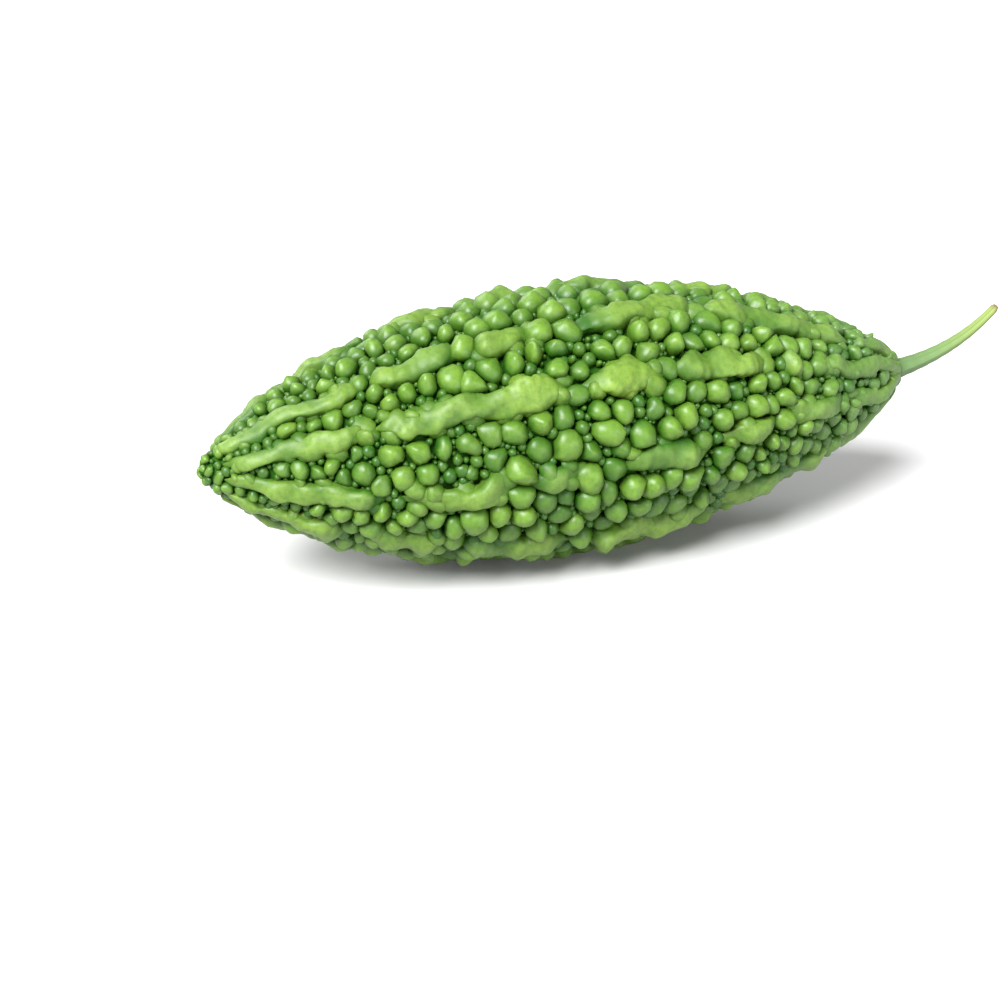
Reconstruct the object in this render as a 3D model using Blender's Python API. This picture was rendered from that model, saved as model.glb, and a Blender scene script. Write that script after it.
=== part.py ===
"""A whole bitter gourd lying on its side, with its stem. Metres, +Z up, +X towards the stem.

The fruit is one solid: a spindle whose skin is raised into nine broken ridges that run from tip to stem,
and into rounded warts packed in the furrows between them. The stem is a ribbed, bent stalk that meets the
fruit's flat seat. The origin is the middle of the whole object's box, on the table.

The skin is a net of cells. Each ridge lump and each wart is the crown of one cell, the corners where cells
meet lie in the creases, and a ring of shoulder points between them rounds the cell off.
"""

import math

import bmesh
import bpy
import numpy as np
from mathutils import Vector
from mathutils.geometry import delaunay_2d_cdt

# The fruit's spindle
LENGTH = 0.1975
CREST_RADIUS = 0.0370
RIDGE_HEIGHT = 0.0060
FLOOR_RADIUS = CREST_RADIUS - RIDGE_HEIGHT
WIDEST_AT = 0.527
TIP_ROUNDNESS = 2.3
TIP_BLUNTNESS = 1.18
STEM_END_ROUNDNESS = 1.55
STEM_END_BLUNTNESS = 1.5
SPINE_BOW = 0.0030
SPINE_SAG = 0.0015

# The nine ridges: each one's angles at the places along the fruit, in degrees up from the horizontal on the
# -Y side, and then the stretches where it stands. Places and stretches are shares of the length from the tip.
RIDGE_PLACES = (0.0, 0.27, 0.48, 0.64, 0.80, 1.0)
RIDGES = (
    (
        (114, 113, 110, 108, 108, 108),
        ((0.03, 0.24), (0.26, 0.38), (0.40, 0.47), (0.49, 0.65), (0.67, 0.83), (0.84, 0.99)),
    ),
    (
        (66, 63, 67, 77, 65, 64),
        ((0.03, 0.20), (0.22, 0.34), (0.35, 0.44), (0.48, 0.67), (0.68, 0.90), (0.91, 0.99)),
    ),
    (
        (34, 33, 39, 39, 38, 28),
        ((0.03, 0.20), (0.21, 0.46), (0.47, 0.59), (0.60, 0.76), (0.77, 0.80), (0.83, 0.99)),
    ),
    (
        (-6, -8, 0, 2, 6, -6),
        ((0.03, 0.21), (0.23, 0.37), (0.39, 0.47), (0.52, 0.65), (0.66, 0.75), (0.77, 0.87), (0.88, 0.99)),
    ),
    (
        (-42, -42, -43, -42, -40, -44),
        ((0.03, 0.17), (0.20, 0.30), (0.32, 0.47), (0.49, 0.66), (0.68, 0.86), (0.87, 0.99)),
    ),
    (
        (-79, -76, -79, -75, -78, -80),
        ((0.03, 0.21), (0.23, 0.38), (0.39, 0.71), (0.73, 0.90), (0.91, 0.99)),
    ),
    (
        (-114, -110, -114, -110, -112, -114),
        ((0.03, 0.27), (0.29, 0.45), (0.46, 0.68), (0.70, 0.84), (0.86, 0.99)),
    ),
    (
        (-150, -153, -148, -152, -149, -151),
        ((0.03, 0.19), (0.21, 0.34), (0.38, 0.57), (0.59, 0.77), (0.78, 0.99)),
    ),
    (
        (160, 165, 160, 166, 162, 160),
        ((0.03, 0.28), (0.30, 0.50), (0.53, 0.69), (0.70, 0.88), (0.89, 0.99)),
    ),
)
RIDGE_HALF_WIDTH = 0.0036
LUMP_SPACING = 0.0098
RIDGE_SEED = 5

# The warts in the furrows, larger than life so that they cover the fruit
WART_HEIGHT = 0.0048
WART_SPACING = 0.0075
WART_TRIES = 7000
WART_SEED = 11
RELAX_ROUNDS = 40
HEIGHT_SEED = 6

# Ridges and warts at the two ends, as a share of their size at the widest place
LEAST_RELIEF = 0.30
FADE_LENGTH = 0.0040

# How far out from a cell's crown its shoulder points lie and how high, and how high a ridge stays between
# its lumps, all as shares of the crown's
SHOULDER_REACH = 0.62
SHOULDER_HEIGHT = 0.82
SADDLE_HEIGHT = 0.97

# The flat face that the stem grows from, and the depth of the flat spots that the fruit rests on
SEAT_X = 0.1940
REST_DEPTH = 0.0011

# The stem
STEM_GAP = 0.0003
STEM_REACH = 0.0332
STEM_RISE = 0.0142
STEM_TIP_RADIUS = 0.0011
STEM_TAPER = 0.0012
STEM_FLARE = 0.0008
STEM_FLARE_SHARE = 0.16
STEM_RIBS = 5
STEM_RIB_DEPTH = 0.10
STEM_RINGS = 22
STEM_SIDES = 15


def wrap(angle):
    """An angle in radians brought between minus pi and pi."""
    return (angle + math.pi) % (2 * math.pi) - math.pi


def smooth(x):
    """0 below 0, 1 above 1, and an even rise between."""
    x = np.clip(x, 0, 1)
    return x * x * (3 - 2 * x)


class Spindle:
    """The fruit's smooth floor, read by the length v along its outline from the tip to the stem end."""

    def __init__(self):
        t = (1 - np.cos(np.linspace(0, math.pi, 4001))) / 2
        reach = np.where(t < WIDEST_AT, WIDEST_AT, 1 - WIDEST_AT)
        out = np.clip(np.abs(t - WIDEST_AT) / reach, 0, 1)
        self.x = LENGTH * t
        roundness = np.where(t < WIDEST_AT, TIP_ROUNDNESS, STEM_END_ROUNDNESS)
        bluntness = np.where(t < WIDEST_AT, TIP_BLUNTNESS, STEM_END_BLUNTNESS)
        self.r = FLOOR_RADIUS * (1 - out**roundness) ** (1 / bluntness)
        steps = np.hypot(np.diff(self.x), np.diff(self.r))
        self.v = np.concatenate([[0], np.cumsum(steps)])
        self.length = self.v[-1]
        self.unrolled = np.concatenate([[0], np.cumsum(2 * steps / (self.r[1:] + self.r[:-1]))])

    def radius(self, v):
        return np.interp(v, self.v, self.r)

    def v_of_x(self, x):
        return np.interp(x, self.x, self.v)

    def straight(self, v, angle):
        """The point on the floor, with the centre line straight."""
        r = self.radius(v)
        x = np.interp(v, self.v, self.x)
        return np.stack([x, -r * np.cos(angle), r * np.sin(angle)], axis=-1)

    def raised(self, v, angle, height):
        """The point at that height along the floor's normal, with the centre line bowed."""
        near = 0.0008
        low, high = np.clip(v - near, 0, self.length), np.clip(v + near, 0, self.length)
        dx = np.interp(high, self.v, self.x) - np.interp(low, self.v, self.x)
        dr = self.radius(high) - self.radius(low)
        size = np.hypot(dx, dr)
        x = np.interp(v, self.v, self.x)
        away = self.radius(v) + height * dx / size
        arch = np.sin(math.pi * x / LENGTH)
        y = SPINE_BOW * arch - away * np.cos(angle)
        z = -SPINE_SAG * arch + away * np.sin(angle)
        return np.stack([x - height * dr / size, y, z], axis=-1)

    def relief(self, v):
        """Ridges and warts get smaller with the girth, and die out at both poles."""
        share = self.radius(v) / FLOOR_RADIUS
        ends = smooth(v / FADE_LENGTH) * smooth((self.length - v) / FADE_LENGTH)
        return (LEAST_RELIEF + (1 - LEAST_RELIEF) * share) * ends


class Ridge:
    """One ridge: a line that wanders a millimetre or so, and the stretches where it stands."""

    def __init__(self, spindle, degrees, stretches, rng):
        self.spindle = spindle
        self.places = spindle.v_of_x(np.array(RIDGE_PLACES) * LENGTH)
        self.angles = np.radians(degrees)
        self.phase = rng.uniform(0, 2 * math.pi, 3)
        self.stretches = spindle.v_of_x(np.array(stretches) * LENGTH)

    def centre(self, v):
        """The ridge line's angle at v. The mean of five readings along the fruit rounds its bends off."""
        readings = [np.interp(v + step, self.places, self.angles) for step in np.linspace(-0.01, 0.01, 5)]
        sway = 0.0005 * np.sin(v / 0.012 + self.phase[0]) + 0.0005 * np.sin(v / 0.0034 + self.phase[1])
        return np.mean(readings, axis=0) + sway / np.maximum(self.spindle.radius(v), 0.008)

    def standing(self, v):
        """True where the ridge stands."""
        v = np.asarray(v)[..., None]
        return np.any((v > self.stretches[:, 0]) & (v < self.stretches[:, 1]), axis=-1)

    def half_width(self, v):
        swell = 1 + 0.14 * np.sin(v / 0.0042 + self.phase[2])
        return RIDGE_HALF_WIDTH * self.spindle.relief(v) * swell

    def lumps(self):
        """The places v of the lumps on each stretch, closer together towards the ends of the fruit."""
        found = []
        for start, end in self.stretches:
            along = np.linspace(start, end, 60)
            pace = 1 / (LUMP_SPACING * np.maximum(self.spindle.relief(along), LEAST_RELIEF))
            count = np.concatenate([[0], np.cumsum((pace[1:] + pace[:-1]) / 2 * np.diff(along))])
            lumps = max(1, round(count[-1]))
            found.append(np.interp((np.arange(lumps) + 0.5) / lumps * count[-1], count, along))
        return found


def foot_clearance(spindle, ridges, v, angle):
    """Distance to the nearest foot of a ridge that stands there, and which side of it."""
    across = np.stack([wrap(angle - ridge.centre(v)) * spindle.radius(v) for ridge in ridges])
    width = np.stack([np.where(ridge.standing(v), ridge.half_width(v), -1.0) for ridge in ridges])
    gap = np.abs(across) - width
    nearest = np.argmin(gap, axis=0)[None]
    return gap.min(axis=0), np.sign(np.take_along_axis(across, nearest, axis=0))[0]


def scatter_warts(spindle, ridges):
    """Each wart's v and angle: thrown at random, kept apart, then pushed into an even packing."""
    rng = np.random.default_rng(WART_SEED)
    area = np.cumsum(spindle.r[1:] * np.diff(spindle.v))
    v = np.interp(rng.uniform(0, area[-1], WART_TRIES), area, spindle.v[1:])
    angle = rng.uniform(-math.pi, math.pi, WART_TRIES)
    spacing = WART_SPACING * spindle.relief(v)
    roomy = foot_clearance(spindle, ridges, v, angle)[0] > 0.30 * spacing
    roomy &= spindle.radius(v) > 0.15 * FLOOR_RADIUS
    spot = spindle.straight(v, angle)
    kept = []
    for i in np.nonzero(roomy)[0]:
        if np.all(np.linalg.norm(spot[kept] - spot[i], axis=1) > 0.80 * spacing[i]):
            kept.append(i)
    v, angle = v[kept], angle[kept]
    for _ in range(RELAX_ROUNDS):
        spot = spindle.straight(v, angle)
        spacing = WART_SPACING * spindle.relief(v)
        radius = spindle.radius(v)
        apart = np.linalg.norm(spot[:, None] - spot[None], axis=2) + np.eye(len(v))
        push = 0.12 * np.clip(1.05 * spacing[:, None] / apart - 1, 0, 0.6) * (1 - np.eye(len(v)))
        v = v + np.sum(push * (v[:, None] - v[None]), axis=1)
        angle = angle + np.sum(push * wrap(angle[:, None] - angle[None]), axis=1)
        gap, side = foot_clearance(spindle, ridges, v, angle)
        short = np.clip(0.42 * spacing - gap, 0, None)
        angle = angle + 0.5 * side * np.clip(short, 0, 0.001) / radius
    return v, wrap(angle)


def neighbour_triangles(spindle, v, angle):
    """Triangles between neighbouring sites, of which the last two are the poles.

    They are found on the floor unrolled flat, its length stretched as its girth is, so that shapes are
    kept at every spot. It is laid out three times side by side, and each pole is a row of points there.
    """
    flat = np.interp(v, spindle.v, spindle.unrolled)
    first_pole, last_pole = len(v) - 2, len(v) - 1
    places, owner = [], []
    for turn in (-1, 0, 1):
        places += [Vector((flat[i], angle[i] + 2 * math.pi * turn)) for i in range(first_pole)]
        owner += range(first_pole)
    inner = flat[:first_pole]
    for pole, level in ((first_pole, inner.min() - 1), (last_pole, inner.max() + 1)):
        places += [Vector((level, k * math.pi / 3)) for k in range(-9, 10)]
        owner += [pole] * 19
    spots, _, faces, source, _, _ = delaunay_2d_cdt(places, [], [], 0, 1e-7)
    triangles = []
    for face in faces:
        sites = [owner[source[i][0]] for i in face]
        middle = sum(spots[i].y for i in face) / 3
        if -math.pi <= middle < math.pi and len(set(sites)) == 3:
            triangles.append(tuple(sites))
    return triangles


class Net:
    """Points on the floor, each with its height, gathered together with the triangles between them."""

    def __init__(self, spindle):
        self.spindle = spindle
        self.v, self.angle, self.height, self.triangles = [], [], [], []

    def add(self, v, angle, height):
        self.v.append(v)
        self.angle.append(angle)
        self.height.append(height)
        return len(self.v) - 1

    def add_between(self, places, weights, height):
        """A point at the weighted mean of some points already added."""
        v = np.array([self.v[i] for i in places])
        angle = np.array([self.angle[i] for i in places])
        middle = np.dot(weights, self.spindle.straight(v, angle))
        return self.add(np.dot(weights, v), math.atan2(middle[2], -middle[1]), height)

    def points(self):
        return self.spindle.raised(np.array(self.v), np.array(self.angle), np.array(self.height))


def fruit_skin(spindle, ridges):
    """Points and triangles of the raised skin."""
    v, angle = scatter_warts(spindle, ridges)
    tall = np.full(len(v), WART_HEIGHT)
    joined = set()
    for ridge in ridges:
        for lumps in ridge.lumps():
            first = len(v)
            v = np.append(v, lumps)
            angle = np.append(angle, ridge.centre(lumps))
            tall = np.append(tall, np.full(len(lumps), RIDGE_HEIGHT))
            joined |= {frozenset((i, i + 1)) for i in range(first, len(v) - 1)}
    v = np.append(v, [0.0, spindle.length])
    angle = np.append(angle, [0.0, 0.0])
    tall = np.append(tall, [0.0, 0.0])
    tall *= spindle.relief(v) * np.random.default_rng(HEIGHT_SEED).uniform(0.88, 1.08, len(v))

    # Each triangle's middle is a corner of three cells. After a cell's neighbour comes, the same way round
    # as the triangle's points, the triangle and then the next neighbour.
    cells = neighbour_triangles(spindle, v, angle)
    after = [{} for site in v]
    for number, (a, b, c) in enumerate(cells):
        after[a][b] = (number, c)
        after[b][c] = (number, a)
        after[c][a] = (number, b)

    net = Net(spindle)
    for site in range(len(v)):
        net.add(v[site], angle[site], tall[site])
    thirds = (1 / 3, 1 / 3, 1 / 3)
    corner = [net.add_between(cell, thirds, 0.0) for cell in cells]
    saddle = {}
    for crown in range(len(v)):
        turns = [after[crown][min(after[crown])]]
        while len(turns) < len(after[crown]):
            turns.append(after[crown][turns[-1][1]])
        feet = [corner[number] for number, neighbour in turns]
        share = (1 - SHOULDER_REACH, SHOULDER_REACH)
        shoulders = [net.add_between((crown, foot), share, SHOULDER_HEIGHT * tall[crown]) for foot in feet]
        for j, (number, neighbour) in enumerate(turns):
            here, there = shoulders[j], shoulders[(j + 1) % len(turns)]
            foot, next_foot = feet[j], feet[(j + 1) % len(turns)]
            net.triangles.append((crown, here, there))
            pair = frozenset((crown, neighbour))
            if pair in joined:
                if pair not in saddle:
                    low = SADDLE_HEIGHT * min(tall[crown], tall[neighbour])
                    saddle[pair] = net.add_between((foot, next_foot), (0.5, 0.5), low)
                middle = saddle[pair]
                net.triangles += [(here, foot, middle), (here, middle, there), (there, middle, next_foot)]
            else:
                net.triangles += [(here, foot, next_foot), (here, next_foot, there)]
    return net.points(), net.triangles


def stem_skin(seat):
    """Points and faces of the stem: rings along its bent path, from the seat to the cut end."""
    s = np.linspace(0, 1, STEM_RINGS) ** 1.3
    path = np.stack([STEM_REACH * s, 0 * s, STEM_RISE * (0.7 * s**1.5 + 0.3 * s**4)], axis=1)
    ahead = np.gradient(path, axis=0)
    ahead[0] = (1, 0, 0)
    ahead /= np.linalg.norm(ahead, axis=1)[:, None]
    side = np.cross(ahead, (0, 0, 1))
    side /= np.linalg.norm(side, axis=1)[:, None]
    up = np.cross(side, ahead)
    radius = STEM_TIP_RADIUS + STEM_TAPER * (1 - s) + STEM_FLARE * np.exp(-s / STEM_FLARE_SHARE)
    turn = np.linspace(0, 2 * math.pi, STEM_SIDES, endpoint=False)
    ribs = 1 + STEM_RIB_DEPTH * np.cos(STEM_RIBS * turn)
    across = radius[:, None] * ribs * np.cos(turn)
    over = radius[:, None] * ribs * np.sin(turn)
    rings = seat + path[:, None] + across[..., None] * side[:, None] + over[..., None] * up[:, None]
    points = rings.reshape(-1, 3)
    faces = [tuple(range(STEM_SIDES)), tuple(reversed(range(len(points) - STEM_SIDES, len(points))))]
    for ring in range(STEM_RINGS - 1):
        for j in range(STEM_SIDES):
            a = ring * STEM_SIDES + j
            b = ring * STEM_SIDES + (j + 1) % STEM_SIDES
            faces.append((a, a + STEM_SIDES, b + STEM_SIDES, b))
    return points, faces


def add_piece(name, points, faces, colour, roughness):
    """A closed piece with a material of its own."""
    mesh = bpy.data.meshes.new(name)
    mesh.from_pydata(points.tolist(), [], faces)
    piece = bpy.data.objects.new(name, mesh)
    bpy.context.scene.collection.objects.link(piece)
    material = bpy.data.materials.new(name + "_skin")
    material.use_nodes = True
    shader = material.node_tree.nodes["Principled BSDF"]
    shader.inputs["Base Color"].default_value = (*colour, 1)
    shader.inputs["Roughness"].default_value = roughness
    shader.inputs["Metallic"].default_value = 0
    mesh.materials.append(material)
    mesh.shade_smooth()
    return piece


def cut_flat(piece, name, low, high):
    """Take away what lies in the box between two corners."""
    mesh = bpy.data.meshes.new(name)
    box = bmesh.new()
    bmesh.ops.create_cube(box, size=1)
    for corner in box.verts:
        corner.co = [low[i] if corner.co[i] < 0 else high[i] for i in range(3)]
    box.to_mesh(mesh)
    box.free()
    cutter = bpy.data.objects.new(name, mesh)
    bpy.context.scene.collection.objects.link(cutter)
    cutter.hide_render = True
    cutter.display_type = "WIRE"
    cut = piece.modifiers.new(name, "BOOLEAN")
    cut.operation = "DIFFERENCE"
    cut.solver = "EXACT"
    cut.object = cutter


def main():
    for old in list(bpy.data.objects):
        bpy.data.objects.remove(old)
    spindle = Spindle()
    rng = np.random.default_rng(RIDGE_SEED)
    ridges = [Ridge(spindle, degrees, stretches, rng) for degrees, stretches in RIDGES]
    skin, skin_faces = fruit_skin(spindle, ridges)
    seat = np.array([SEAT_X, 0.0, 0.0])
    stalk, stalk_faces = stem_skin(seat + (STEM_GAP, 0, 0))

    # The floor of the object's box is the plane of the flat spots
    low = np.minimum(skin.min(axis=0), stalk.min(axis=0))
    high = np.maximum(skin.max(axis=0), stalk.max(axis=0))
    shift = np.array([(low[0] + high[0]) / 2, (low[1] + high[1]) / 2, low[2] + REST_DEPTH])
    skin, stalk, seat = skin - shift, stalk - shift, seat - shift

    fruit = add_piece("gourd", skin, skin_faces, (0.20, 0.38, 0.08), 0.42)
    add_piece("stem", stalk, stalk_faces, (0.36, 0.50, 0.26), 0.60)
    reach = 2 * LENGTH
    cut_flat(fruit, "table", (-reach, -reach, -reach), (reach, reach, 0.0))
    cut_flat(fruit, "seat", (seat[0], -reach, -reach), (reach, reach, reach))


main()
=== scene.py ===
"""A whole bitter gourd lying on its side on a pale table, with its stem. Metres, +Z up, +X to the stem."""

import math

import bpy
import numpy as np
from mathutils import Matrix, Vector


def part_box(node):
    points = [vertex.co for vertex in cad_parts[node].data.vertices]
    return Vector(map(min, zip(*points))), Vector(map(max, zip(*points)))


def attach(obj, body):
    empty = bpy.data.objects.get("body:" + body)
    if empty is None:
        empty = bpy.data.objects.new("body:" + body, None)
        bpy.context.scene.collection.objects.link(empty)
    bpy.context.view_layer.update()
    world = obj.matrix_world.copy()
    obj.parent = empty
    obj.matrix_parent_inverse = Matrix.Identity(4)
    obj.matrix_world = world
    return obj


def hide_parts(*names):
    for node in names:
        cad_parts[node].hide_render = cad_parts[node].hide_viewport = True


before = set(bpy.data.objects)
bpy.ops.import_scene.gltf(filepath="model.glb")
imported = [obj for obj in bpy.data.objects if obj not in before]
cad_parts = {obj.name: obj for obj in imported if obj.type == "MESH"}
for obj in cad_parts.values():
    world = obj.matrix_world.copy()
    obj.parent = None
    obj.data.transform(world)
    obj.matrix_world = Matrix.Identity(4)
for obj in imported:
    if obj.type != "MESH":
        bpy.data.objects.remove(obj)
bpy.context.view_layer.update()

# The fruit's wall
# The fruit grew as one hollow berry, a spindle pointed at the tip and narrowed to the stem at the other end.
# Its wall is smooth and painted dark, as the creases' painted shade, and shows only at the bottom of the
# creases. All else is raised from it.

fruit_low, fruit_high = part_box("gourd")
TIP_X = fruit_low[0]
SEAT_X = fruit_high[0]
LENGTH = 0.1975
WALL_RADIUS = 0.0310
WIDEST_AT = 0.527
TIP_ROUNDNESS = 2.3
TIP_BLUNTNESS = 1.18
STEM_END_ROUNDNESS = 1.55
STEM_END_BLUNTNESS = 1.5
AXIS_HEIGHT = 0.03614
AXIS_Y = -0.00242
BOW = 0.0030
SAG = 0.0015
STEM_SOCKET = 0.0026
SLOPE_STEP = 0.0008
PRESS = 0.0006
WALL_SUNK = 0.0002
# The wall's colour value, set low so that the wall takes the creases' painted shade.
WALL_SHADE_RISE = 0.05
WALL_ROWS = 240
WALL_COLUMNS = 200

share = (1 - np.cos(np.linspace(0, math.pi, 4001))) / 2
off_widest = np.abs(share - WIDEST_AT) / np.where(share < WIDEST_AT, WIDEST_AT, 1 - WIDEST_AT)
wall_x = LENGTH * share
roundness = np.where(share < WIDEST_AT, TIP_ROUNDNESS, STEM_END_ROUNDNESS)
bluntness = np.where(share < WIDEST_AT, TIP_BLUNTNESS, STEM_END_BLUNTNESS)
wall_r = WALL_RADIUS * (1 - np.clip(off_widest, 0, 1) ** roundness) ** (1 / bluntness)
wall_v = np.concatenate([[0], np.cumsum(np.hypot(np.diff(wall_x), np.diff(wall_r)))])
V_END = wall_v[-1]
V_STEM = wall_v[np.nonzero(wall_r > STEM_SOCKET)[0][-1]]


def girth(v):
    """The wall's radius at the length v along its outline from the tip."""
    return np.interp(v, wall_v, wall_r)


def skin_point(v, angle, height):
    """A point at that height along the wall's normal.

    The wall is turned: x and radius by v, then round by the angle, up from the horizontal on the -Y side.
    The centre line bows sideways and down by half a sine.
    """
    low, high = np.clip(v - SLOPE_STEP, 0, V_END), np.clip(v + SLOPE_STEP, 0, V_END)
    dx = np.interp(high, wall_v, wall_x) - np.interp(low, wall_v, wall_x)
    dr = girth(high) - girth(low)
    size = np.hypot(dx, dr)
    x = np.interp(v, wall_v, wall_x)
    away = girth(v) + height * dx / size
    arch = np.sin(math.pi * x / LENGTH)
    y = AXIS_Y + BOW * arch - away * np.cos(angle)
    z = AXIS_HEIGHT - SAG * arch + away * np.sin(angle)
    return np.stack([TIP_X + x - height * dr / size, y, z], axis=-1)


def shell_faces(shells, rings, sides):
    """Faces of closed shells: rings of points, then a point at each end, shell after shell."""
    ring, side = np.meshgrid(np.arange(rings - 1), np.arange(sides), indexing="ij")
    near, far = ring * sides + side, ring * sides + (side + 1) % sides
    quads = np.stack([near, near + sides, far + sides, far], axis=-1).reshape(-1, 4)
    turn = np.arange(sides)
    last = (rings - 1) * sides
    start = np.stack([np.full(sides, rings * sides), turn, (turn + 1) % sides], axis=-1)
    end = np.stack([np.full(sides, rings * sides + 1), last + (turn + 1) % sides, last + turn], axis=-1)
    step = (np.arange(shells) * (rings * sides + 2))[:, None, None]
    return (quads + step).reshape(-1, 4), (np.concatenate([start, end]) + step).reshape(-1, 3)


def mesh_piece(name, points, quads, triangles, material, **values):
    """A smooth-shaded object of those points and faces, with one number per point for each named value.

    The fruit's weight presses it flat on the table: a height z below PRESS becomes PRESS * e^(z / PRESS - 1),
    which stays above 0 and keeps the order of the layers.
    """
    pressed = PRESS * np.exp(np.minimum(points[:, 2] / PRESS - 1, 0))
    points[:, 2] = np.where(points[:, 2] < PRESS, pressed, points[:, 2])
    corners = np.concatenate([quads.ravel(), triangles.ravel()])
    sizes = np.concatenate([np.full(len(quads), 4), np.full(len(triangles), 3)])
    mesh = bpy.data.meshes.new(name)
    mesh.vertices.add(len(points))
    mesh.vertices.foreach_set("co", points.ravel())
    mesh.loops.add(len(corners))
    mesh.loops.foreach_set("vertex_index", corners)
    mesh.polygons.add(len(sizes))
    mesh.polygons.foreach_set("loop_start", np.concatenate([[0], np.cumsum(sizes)[:-1]]))
    for value_name, numbers in values.items():
        layer = mesh.attributes.new(value_name, "FLOAT", "POINT")
        layer.data.foreach_set("value", np.asarray(numbers, dtype=float).ravel())
    mesh.update(calc_edges=True)
    mesh.shade_smooth()
    mesh.materials.append(material)
    piece = bpy.data.objects.new(name, mesh)
    bpy.context.scene.collection.objects.link(piece)
    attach(piece, "root")
    return piece


CREASE_SHINE = 0.10
CREASE_ROUGHNESS = 0.7
# The crease and flank greens are painted shade low on the skin; the flank green also colours the flecks.
CREASE_SHADE_GREEN = (0.014, 0.070, 0.002)
FLECK_AND_SHADE_GREEN = (0.015, 0.068, 0.002)
CROWN_GREEN = (0.078, 0.164, 0.013)
SUNNY_GREEN = (0.150, 0.240, 0.028)
PALE_AND_SHEEN_GREEN = (0.068, 0.135, 0.042)


def fruit_skin(name, crown, roughness, shine):
    """Waxy green skin, dark in the creases and light on the crowns, which is painted shade and painted light.

    The point values choose the colour: rise runs from crease to crown and lays on that painted shade, tone
    makes it yellower, and the pale value makes it paler and cooler, high on the far side as painted sheen.
    Fine noise in Object coordinates mottles it darker and roughens the surface a little.
    """
    material = bpy.data.materials.new(name)
    material.use_nodes = True
    nodes, links = material.node_tree.nodes, material.node_tree.links
    shader = nodes["Principled BSDF"]

    def value(attribute):
        node = nodes.new("ShaderNodeAttribute")
        node.attribute_name = attribute
        return node.outputs["Fac"]

    def mix(factor, first, second):
        node = nodes.new("ShaderNodeMix")
        node.data_type = "RGBA"
        links.new(factor, node.inputs[0])
        for socket, colour in ((node.inputs[6], first), (node.inputs[7], second)):
            if isinstance(colour, tuple):
                socket.default_value = (*colour, 1)
            else:
                links.new(colour, socket)
        return node.outputs[2]

    # Painted shade and painted light: by the rise, the colour darkens from the crowns down to the creases.
    ramp = nodes.new("ShaderNodeValToRGB")
    ramp.color_ramp.elements[0].color = (*CREASE_SHADE_GREEN, 1)
    ramp.color_ramp.elements[1].color = (*crown, 1)
    flank = ramp.color_ramp.elements.new(0.60)
    flank.color = (*FLECK_AND_SHADE_GREEN, 1)
    links.new(value("rise"), ramp.inputs[0])

    where = nodes.new("ShaderNodeTexCoord")
    mottle = nodes.new("ShaderNodeTexNoise")
    mottle.inputs["Scale"].default_value = 260
    mottle.inputs["Detail"].default_value = 3
    links.new(where.outputs["Object"], mottle.inputs["Vector"])
    patches = nodes.new("ShaderNodeMath")
    patches.operation = "MULTIPLY"
    links.new(value("tone"), patches.inputs[0])
    links.new(mottle.outputs["Fac"], patches.inputs[1])
    sunny = mix(patches.outputs[0], ramp.outputs[0], SUNNY_GREEN)
    # Paler and cooler toward the stem end, and high on the far side, where it is painted sheen.
    cool = mix(value("frost"), sunny, PALE_AND_SHEEN_GREEN)
    flecks = nodes.new("ShaderNodeTexNoise")
    flecks.inputs["Scale"].default_value = 620
    flecks.inputs["Detail"].default_value = 5
    flecks.inputs["Roughness"].default_value = 0.62
    links.new(where.outputs["Object"], flecks.inputs["Vector"])
    fleck_share = nodes.new("ShaderNodeMapRange")
    fleck_share.inputs["From Min"].default_value = 0.42
    fleck_share.inputs["From Max"].default_value = 0.72
    fleck_share.inputs["To Max"].default_value = 0.50
    links.new(flecks.outputs["Fac"], fleck_share.inputs["Value"])
    mottled = mix(fleck_share.outputs[0], cool, FLECK_AND_SHADE_GREEN)
    links.new(mottled, shader.inputs["Base Color"])

    grain = nodes.new("ShaderNodeTexNoise")
    grain.inputs["Scale"].default_value = 1500
    grain.inputs["Detail"].default_value = 2
    links.new(where.outputs["Object"], grain.inputs["Vector"])
    bump = nodes.new("ShaderNodeBump")
    bump.inputs["Strength"].default_value = 0.20
    bump.inputs["Distance"].default_value = 0.0002
    links.new(grain.outputs["Fac"], bump.inputs["Height"])
    links.new(bump.outputs[0], shader.inputs["Normal"])
    shader.inputs["Roughness"].default_value = roughness
    shader.inputs["Specular IOR Level"].default_value = shine
    shader.inputs["Subsurface Weight"].default_value = 0.12
    shader.inputs["Subsurface Radius"].default_value = (0.6, 1.0, 0.2)
    shader.inputs["Subsurface Scale"].default_value = 0.0012
    return material


wall_rows = np.linspace(0, V_STEM, WALL_ROWS + 1)[1:]
wall_columns = np.linspace(0, -2 * math.pi, WALL_COLUMNS, endpoint=False)
wall_heights = np.full((WALL_ROWS, WALL_COLUMNS), -WALL_SUNK)
wall_rings = skin_point(wall_rows[:, None], wall_columns[None], wall_heights)
wall_ends = np.stack([skin_point(0.0, 0.0, 0.0), wall_rings[-1].mean(axis=0)])
wall_points = np.concatenate([wall_rings.reshape(-1, 3), wall_ends])
wall_quads, wall_caps = shell_faces(1, WALL_ROWS, WALL_COLUMNS)
wall = mesh_piece(
    "fruit_wall",
    wall_points,
    wall_quads,
    wall_caps,
    fruit_skin("crease_shade_skin", CROWN_GREEN, CREASE_ROUGHNESS, CREASE_SHINE),
    rise=np.full(len(wall_points), WALL_SHADE_RISE),
    tone=np.zeros(len(wall_points)),
    frost=np.zeros(len(wall_points)),
)
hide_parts("gourd")

# The ridges
# Nine fleshy ribs run from tip to stem. They are one flesh with the fruit, smoother and paler than the
# warts, lumpy and wavy, and broken off here and there in rounded ends.

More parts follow.
